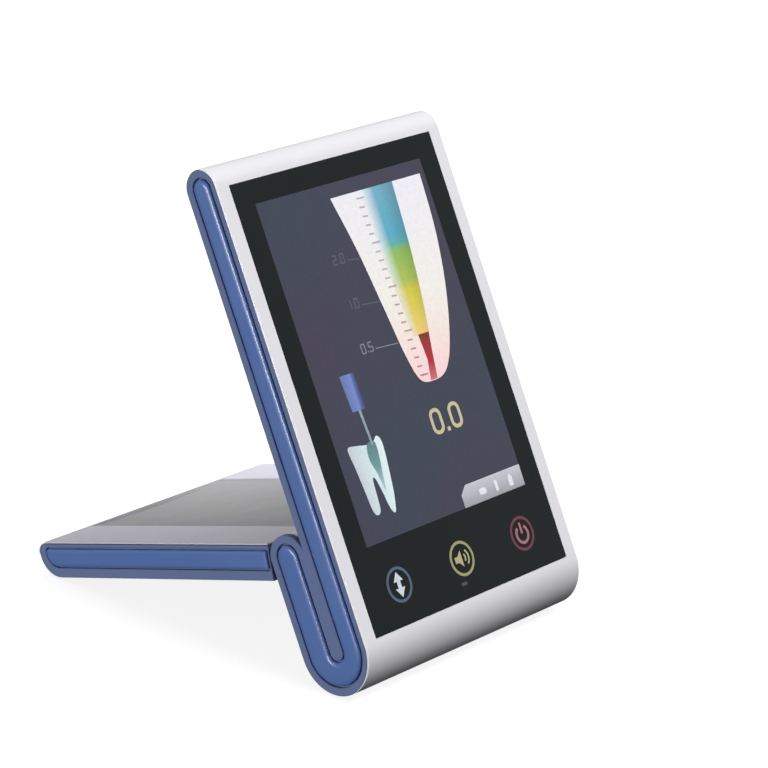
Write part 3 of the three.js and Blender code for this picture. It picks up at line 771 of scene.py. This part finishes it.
def shell_row(y, z, out_y, out_z, pocketed):
    """One closed cross-section of the shell, with a side lip only where the surface faces forwards."""
    lip = max(0.0, -out_y) * LIP
    edge = min(SHELL_EDGE, lip * LIP_ROUNDED)
    inner = HALF - RIM_DEEP - SEAM
    side = HALF if lip > LIP_LEAST else inner
    pocket = glass_high.x + SEAM
    foot = max(lip, LIP_FOOT)
    half = [(pocket, POCKET_DEEP if pocketed else 0.0), (pocket, 0.0)]
    half += reversed([(side - depth, below) for depth, below in quarter(edge, edge)])
    half += [(side, foot), (inner, foot), (inner, WALL)]
    section = half + [(-x, depth) for x, depth in reversed(half)]
    return [Vector((x, y - out_y * depth, z - out_z * depth)) for x, depth in section]


def add_front_shell():
    bm = bmesh.new()
    rings = [[bm.verts.new(point) for point in shell_row(*station)] for station in shell_stations()]
    join_rings(bm, rings)
    add_cap(bm, [rings[0]])
    add_cap(bm, [rings[-1]])
    mesh = to_mesh("front_shell", bm, DISPLAY)
    finish_piece("front_shell", mesh, "display", WHITE, ["front_housing"])


def add_softened(name, node, body, material, edge):
    return finish_piece(name, softened_mesh(node, edge), body, material, [node])


def add_stand_cover():
    """The stand's inner cover, whose channel is a darker neutral grey than the two bands beside it: painted shade
    in the recessed channel under the display.
    """
    cover = add_softened("stand_inner_cover", "stand_cover", "stand", STAND_SHADED_GREY, SMALL_SOFT)
    cover.data.materials.append(CHANNEL_PAINTED_SHADE_GREY)
    to_stand = STAND.inverted()
    unturned = STAND.to_3x3().normalized().transposed()
    for face in cover.data.polygons:
        point = to_stand @ face.center
        in_channel = abs(point.x) < CHANNEL_HALF and point.y > STAND_IN + CHANNEL_STEP
        # faces of the channel's floor take the second material, the darker grey of painted shade
        if in_channel and (unturned @ face.normal).y < -FACING:
            face.material_index = 1


add_front_shell()
add_softened("rear_panel", "rear_cover", "display", WHITE, SHELL_SOFT)
add_softened("lower_shell", "lower_housing", "display", WHITE, SHELL_SOFT)
add_softened("stand_outer_shell", "stand_shell", "stand", WHITE, SHELL_SOFT)
add_stand_cover()
add_softened("hinge_knuckle", "stand_knuckle", "stand", KNUCKLE_GREY, KNUCKLE_SOFT)
add_softened("base_rubber", "base_pad", "display", RUBBER, SMALL_SOFT)
add_softened("stand_rubber", "stand_pad", "stand", RUBBER, SMALL_SOFT)

# ---------- blue sides ----------


def side_plate_outline(depth):
    """The J outline behind the white lip, which runs down the front and ends past its top and bottom."""
    loop = shifted(arc(0, 0, BEND_R, -180, -90, 24), LIP, 0)[:-1]
    loop += arc(0, 0, BEND_R, -90 + LIP_TAPER, 0, 24)
    loop += arc(AXIS_Y, AXIS_Z, ARM_R, 0, 180, 24)
    loop += arc(TOP_Y, TOP_Z, TOP_R, 0, 90 - LIP_TAPER, 18)
    loop += shifted(arc(TOP_Y, TOP_Z, TOP_R, 90, 180, 20), LIP, 0)[1:]
    return inset(no_repeats(loop), depth)


def socket_drill():
    """The clearance round the probe socket and the charging socket, through the right side."""
    reach = (HALF - RIM_DEEP - 1, HALF + 2)
    jack_low, jack_high = measured("probe_socket", DISPLAY)
    port_low, port_high = measured("charging_socket", DISPLAY)
    middle = (jack_low + jack_high) / 2
    radius = (jack_high.y - jack_low.y) / 2 + SOCKET_GAP
    round_hole = arc(middle.y, middle.z, radius, 0, 360, 40)[:-1]
    slot_hole = rounded_rect(
        port_low.y - SOCKET_GAP, port_high.y + SOCKET_GAP,
        port_low.z - SOCKET_GAP, port_high.z + SOCKET_GAP, PORT_CORNER_R,
    )
    bm = bmesh.new()
    for hole in (round_hole, slot_hole):
        rings = add_walls(bm, across, [(hole, x) for x in reach])
        add_cap(bm, [rings[0]])
        add_cap(bm, [rings[1]])
    return to_mesh("socket_drill", bm, DISPLAY)


def add_side_plate(name, side, body, node, outline_at, pocket_at, place, drill=None):
    """A slate blue side plate with a softly rounded edge and a pocket for its raised bar."""
    sections = rounded_top(outline_at, HALF - RIM_DEEP, HALF, PLATE_EDGE, PLATE_EDGE)
    pocket = [(pocket_at(0.0), HALF - POCKET_DEEP), (pocket_at(0.0), HALF - PLATE_EDGE)]
    pocket += [(pocket_at(-depth), HALF - below) for depth, below in quarter(PLATE_EDGE, PLATE_EDGE)]
    put = across if side > 0 else across_left
    mesh = solid_mesh(name, put, sections, place, pockets=[pocket])
    if drill:
        mesh = drilled(mesh, drill)
    finish_piece(name, mesh, body, RIM_BLUE, [node])


def add_bar(name, side, body, node, outline_at, crown, rise, place, drill=None):
    """A raised blue bar whose sides curve over into a gently domed crest."""
    top = measured(node, place)[1].x if side > 0 else -measured(node, place)[0].x
    sections = rounded_top(outline_at, HALF - POCKET_DEEP + BAR_GAP, top, crown, rise, 8)
    put = across if side > 0 else across_left
    mesh = solid_mesh(name, put, sections, place)
    if drill:
        mesh = drilled(mesh, drill)
    finish_piece(name, mesh, body, BAR_BLUE, [node])


def add_blue_sides(label, side, drill=None):
    """The side plates and raised bars of one side. The drill is for the display's sockets."""
    half_groove = GROOVE / 2
    add_side_plate(
        f"side_plate_{label}", side, "display", f"side_rim_{label}",
        side_plate_outline, lambda depth: body_outline(RIM - half_groove + depth), DISPLAY, drill,
    )
    add_bar(
        f"raised_bar_{label}", side, "display", f"side_bar_{label}",
        lambda depth: body_outline(RIM + half_groove + depth), BAR_CROWN, BAR_RISE, DISPLAY, drill,
    )
    add_side_plate(
        f"stand_plate_{label}", side, "stand", f"stand_rim_{label}",
        stand_plate_outline, lambda depth: stand_bar_outline(depth - half_groove), STAND,
    )
    add_bar(
        f"stand_raised_bar_{label}", side, "stand", f"stand_bar_{label}",
        lambda depth: stand_bar_outline(depth + half_groove), STAND_BAR_CROWN, STAND_BAR_RISE, STAND,
    )


add_blue_sides("left", -1)
add_blue_sides("right", 1, socket_drill())

# ---------- glass ----------


def add_glass():
    loop = rounded_rect(glass_low.x, glass_high.x, glass_low.z, glass_high.z, GLASS_R)
    sections = [(loop, glass_high.y), (loop, glass_low.y + GLASS_EDGE)]
    for depth, below in quarter(GLASS_EDGE, GLASS_EDGE):
        sections.append((inset(loop, depth), glass_low.y + below))
    mesh = solid_mesh("front_glass", facing, sections, DISPLAY)
    finish_piece("front_glass", mesh, "display", GLASS, ["cover_glass"])


def add_layer(name, level, loops, material, holes=()):
    """A thin printed or lit layer: level 1 lies on the glass, and each next level on the one before."""
    top = glass_low.y - LAYER * level
    bm = bmesh.new()
    for index, loop in enumerate(loops):
        loop = no_repeats(loop)
        edges = [loop, holes[index]] if holes else [loop]
        walls = [add_walls(bm, facing, [(edge, top + LAYER), (edge, top)]) for edge in edges]
        for end in (0, 1):
            add_cap(bm, [rings[end] for rings in walls])
    mesh = to_mesh(name, bm, DISPLAY)
    finish_piece(name, mesh, "display", material)


add_glass()

# ---------- the screen's picture ----------


def stroke(start, end, width):
    """A straight bar between two points."""
    along = (Vector(end) - Vector(start)).normalized() * width / 2
    side = Vector((-along.y, along.x))
    corners = (Vector(start) - side, Vector(end) - side, Vector(end) + side, Vector(start) + side)
    return [tuple(corner) for corner in corners]


SEGMENTS = {"0": "abcdef", "1": "bc", "2": "abged", "5": "afgcd"}


def digit_strokes(text, left, bottom, height, width, line):
    """Plain seven-segment numerals as bars, with a full stop between them."""
    strokes = []
    for letter in text:
        if letter == ".":
            strokes.append(stroke((left, bottom + line / 2), (left + line, bottom + line / 2), line))
            left += line * 2
            continue
        right, middle, top = left + width, bottom + height / 2, bottom + height
        places = {
            "a": ((left, top), (right, top)), "b": ((right, middle), (right, top)),
            "c": ((right, bottom), (right, middle)), "d": ((left, bottom), (right, bottom)),
            "e": ((left, bottom), (left, middle)), "f": ((left, middle), (left, top)),
            "g": ((left, middle), (right, middle)),
        }
        strokes += [stroke(*places[segment], line) for segment in SEGMENTS[letter]]
        left += width + line * 2
    return strokes


def add_screen_ground():
    loop = rounded_rect(-SCREEN_HALF, SCREEN_HALF, SCREEN_BOTTOM, SCREEN_TOP, 0.4)
    add_layer("screen_ground", 1, [loop], SCREEN)


def add_root_graph():
    """The magnified root on the screen's right, with its canal in the colours of the distance zones."""
    root = curve_through([
        (-6.2, GRAPH_TOP), (-2.0, 106.0), (1.2, 88.0), (3.7, 73.5), (6.6, 65.2),
        (12.0, 63.6), (18.5, 65.2), (24.0, 72.8), (29.7, 88.0), (33.2, 105.0), (34.3, GRAPH_TOP),
    ])
    add_layer("root_graph", 2, [root], lit("graph_white", GRAPH_COLORS, "Z", 63.5, GRAPH_TOP))
    canal = curve_through([(7.0, GRAPH_TOP), (7.6, 104.0), (8.6, 90.0), (9.6, CANAL_BOTTOM)])
    canal += curve_through([(16.6, CANAL_BOTTOM), (18.6, 89.0), (20.3, 104.0), (21.4, GRAPH_TOP)])
    add_layer("canal_zones", 3, [canal], canal_material())
    apex = [
        (11.7, CANAL_BOTTOM), (12.3, 70.0), (11.0, ROOT_END), (14.0, ROOT_END), (15.2, 71.0),
        (16.5, CANAL_BOTTOM),
    ]
    add_layer("apex_zone", 3, [apex], lit("apex_red", APEX_COLORS, "Z", ROOT_END, CANAL_BOTTOM))


def add_graph_scale():
    """Tick marks down the canal's left side, and the distance numbers with their leader lines."""
    ticks = []
    for index in range(TICKS):
        share = index / (TICKS - 1)
        x, z = TICK_X + TICK_RUN * share, TICK_Z - TICK_DROP * share
        length = LONG_TICK if index % LONG_TICK_EVERY == 0 else TICK_LENGTH
        ticks.append(stroke((x, z), (x + length, z - 0.15), 0.5))
    add_layer("depth_ticks", 3, ticks, lit("tick_grey", TICK_COLORS, "Z", 64.0, 122.0))
    for name, text, z, color in SCALE_NUMBERS:
        marks = digit_strokes(text, SCALE_LEFT, z, SCALE_HEIGHT, SCALE_WIDTH, SCALE_LINE)
        marks.append(stroke((LEADER_START, z + 0.4), (LEADER_END[name], z - 0.2), LEADER_LINE))
        add_layer(f"scale_{name}", 2, marks, flat_lit(f"scale_{name}_grey", color))


def add_reading():
    """The reading of the distance to the apex, 0.0, in narrow rounded numerals."""
    outer, inner = [], []
    for left in DIGIT_LEFTS:
        right = left + DIGIT_WIDTH
        outer.append(rounded_rect(left, right, READING_BOTTOM, READING_TOP, 2.3))
        inner.append(rounded_rect(
            left + DIGIT_LINE, right - DIGIT_LINE, READING_BOTTOM + 1.1, READING_TOP - 1.1, 1.3,
        ))
    add_layer("reading_digits", 2, outer, READING, inner)
    point = rounded_rect(11.4, 12.7, READING_BOTTOM, READING_BOTTOM + 1.3, 0.4)
    add_layer("reading_point", 2, [point], READING)


def add_tooth_icon():
    """The small tooth at the lower left with a file held in its canal."""
    tooth = curve_through([
        (-31.2, 53.6), (-27.5, 53.3), (-23.8, 52.7), (-20.6, 52.9), (-18.6, 54.2), (-17.2, 52.6),
        (-17.2, 48.5), (-18.0, 42.5), (-19.0, 36.5), (-20.6, 31.9), (-22.2, 33.6), (-23.2, 38.5),
        (-24.4, 42.8), (-25.5, 42.6), (-25.9, 37.5), (-26.4, 33.8), (-28.0, 32.8), (-29.4, 34.6),
        (-30.1, 40.5), (-30.9, 47.5), (-31.6, 51.5),
    ], closed=True)
    add_layer("tooth_icon", 2, [tooth], lit("tooth_white", TOOTH_COLORS, "X", -31.6, -17.0))
    pulp = curve_through([
        (-23.4, 52.7), (-24.3, 48.5), (-22.9, 44.0), (-21.7, 38.5), (-20.9, 43.5), (-20.2, 47.0),
        (-19.8, 51.0), (-20.4, 53.0),
    ], closed=True)
    add_layer("tooth_canal", 3, [pulp], lit("tooth_teal", PULP_COLORS, "Z", 38.5, 53.0))
    handle = [(-24.9, 62.6), (-19.0, 62.6), (-19.7, 73.4), (-25.7, 73.4)]
    add_layer("file_handle", 2, [handle], lit("handle_blue", HANDLE_COLORS, "X", -25.7, -18.9))
    shaft = [(-22.5, 62.6), (-21.6, 52.0), (-20.8, 52.0), (-21.4, 62.6)]
    add_layer("file_shaft", 4, [shaft], flat_lit("shaft_grey", srgb(142, 160, 168)))


def add_status_tab():
    """The pale tab in the screen's lower right corner, with three plain status marks."""
    tab = [
        (TAB_LEFT, SCREEN_BOTTOM), (SCREEN_HALF, SCREEN_BOTTOM), (SCREEN_HALF, TAB_TOP),
        (TAB_LEFT + 2.8, TAB_TOP), (TAB_LEFT, TAB_TOP - 2.5),
    ]
    add_layer("status_tab", 2, [tab], lit("tab_grey", TAB_COLORS, "Z", SCREEN_BOTTOM, TAB_TOP))
    marks = [
        rounded_rect(16.0, 19.2, 27.3, 29.2, 0.8),
        rounded_rect(23.4, 24.6, 26.7, 30.0, 0.5),
        rounded_rect(29.8, 31.6, 26.6, 29.6, 0.4),
        rounded_rect(30.3, 31.1, 29.6, 30.2, 0.2),
    ]
    add_layer("status_marks", 3, marks, flat_lit("mark_white", srgb(228, 230, 238)))


add_screen_ground()
add_root_graph()
add_graph_scale()
add_reading()
add_tooth_icon()
add_status_tab()

# ---------- touch keys ----------


def add_key(name, x, ring_color, glyph_color, glyphs):
    """A printed touch key: a thin ring and its glyph, lit from behind."""
    ring = arc(x, KEY_Z, KEY_R, 0, 360, 48)[:-1]
    inner = arc(x, KEY_Z, KEY_R - KEY_LINE, 0, 360, 48)[:-1]
    add_layer(f"{name}_ring", 1, [ring], flat_lit(f"{name}_ring_light", ring_color), [inner])
    placed = [shifted(glyph, x, KEY_Z) for glyph in glyphs]
    add_layer(f"{name}_glyph", 1, placed, flat_lit(f"{name}_glyph_light", glyph_color))


def up_and_down_arrows():
    head = [(-2.0, 1.0), (2.0, 1.0), (0.0, 3.7)]
    return [head, [(-x, -z) for x, z in head], rounded_rect(-0.75, 0.75, -1.0, 1.0, 0.1)]


def loudspeaker():
    box = [(-3.1, -0.9), (-1.7, -0.9), (0.0, -2.5), (0.0, 2.5), (-1.7, 0.9), (-3.1, 0.9)]
    return [box, arc_band(0.2, 0, 1.0, 1.6, -50, 50, 10), arc_band(0.2, 0, 2.4, 3.0, -50, 50, 14)]


def power_symbol():
    return [arc_band(0, -0.2, 2.1, 3.0, 125, 415, 28), rounded_rect(-0.45, 0.45, 0.0, 3.3, 0.2)]


add_key("link_key", -KEY_PITCH, srgb(82, 100, 120), srgb(206, 214, 224), up_and_down_arrows())
add_key("volume_key", 0.0, srgb(158, 156, 112), srgb(176, 174, 130), loudspeaker())
add_key("power_key", KEY_PITCH, srgb(112, 62, 70), srgb(168, 112, 120), power_symbol())
status_window = rounded_rect(-3.6, -1.0, 4.7, 5.7, 0.45)
add_layer("status_light", 1, [status_window], flat_lit("status_grey", srgb(74, 78, 76)))

# ---------- studio ----------


def add_light(name, kind, location, target, watts):
    """A lamp of that kind at a place, turned towards its target."""
    light = bpy.data.objects.new(name, bpy.data.lights.new(name, kind))
    light.data.energy = watts
    bpy.context.scene.collection.objects.link(light)
    light.location = location
    light.rotation_euler = (Vector(target) - Vector(location)).to_track_quat("-Z", "Y").to_euler()
    return light


def add_area(name, location, size, watts):
    """A soft box turned towards the object, which the camera doesn't see."""
    light = add_light(name, "AREA", location, STUDIO_CENTRE, watts)
    light.data.shape = "RECTANGLE"
    light.data.size, light.data.size_y = size
    light.visible_camera = False


def add_stand_spot():
    """A soft spot of light on the right end of the stand."""
    light = add_light("stand_spot", "SPOT", SPOT_PLACE, SPOT_TARGET, SPOT_WATTS)
    light.data.spot_size = math.radians(SPOT_CONE)
    light.data.spot_blend = 1.0
    light.data.shadow_soft_size = SPOT_SOFTNESS


def add_world():
    """A soft white sky, brighter on the right, over a dark ground which shades the object's undersides."""
    world = bpy.data.worlds.new("studio")
    world.use_nodes = True
    tree = world.node_tree
    split = tree.nodes.new("ShaderNodeSeparateXYZ")
    direction = tree.nodes.new("ShaderNodeTexCoord").outputs["Generated"]
    tree.links.new(direction, split.inputs["Vector"])
    height = spread(tree, split.outputs["Z"], -0.35, 0.3, 0.0, 1.0)
    sky = ramp(tree, height, [(0.0, (GROUND_GLOW,) * 3 + (1,)), (1.0, (SKY_GLOW,) * 3 + (1,))])
    right = spread(tree, split.outputs["X"], -0.8, 0.8, 0.0, 1.0)
    side = ramp(tree, right, [(0.0, LEFT_SKY), (1.0, RIGHT_SKY)])
    tree.links.new(mixed(tree, 1.0, sky, side, "MULTIPLY"), tree.nodes["Background"].inputs["Color"])
    bpy.context.scene.world = world
    bpy.context.scene.view_settings.view_transform = "Standard"


def add_floor():
    """A pale floor, lit from within to stay pale, which neither lights the object nor shows in it."""
    material, tree, shader, place = new_material("pale_floor")
    pale = two_tone(tree, noise(tree, place, 3.0), FLOOR_DARK, FLOOR_PALE)
    tree.links.new(pale, shader.inputs["Base Color"])
    tree.links.new(pale, shader.inputs["Emission Color"])
    shader.inputs["Emission Strength"].default_value = FLOOR_GLOW
    shader.inputs["Roughness"].default_value = 0.9
    shader.inputs["Specular IOR Level"].default_value = 0.0
    bm = bmesh.new()
    bmesh.ops.create_grid(bm, x_segments=1, y_segments=1, size=FLOOR_HALF)
    mesh = bpy.data.meshes.new("floor")
    bm.to_mesh(mesh)
    bm.free()
    mesh.materials.append(material)
    floor = bpy.data.objects.new("floor", mesh)
    bpy.context.scene.collection.objects.link(floor)
    floor.visible_diffuse = False
    floor.visible_glossy = False


add_world()
add_floor()
add_area("key", KEY_PLACE, KEY_SIZE, KEY_WATTS)
add_area("left_fill", FILL_PLACE, FILL_SIZE, FILL_WATTS)
add_stand_spot()
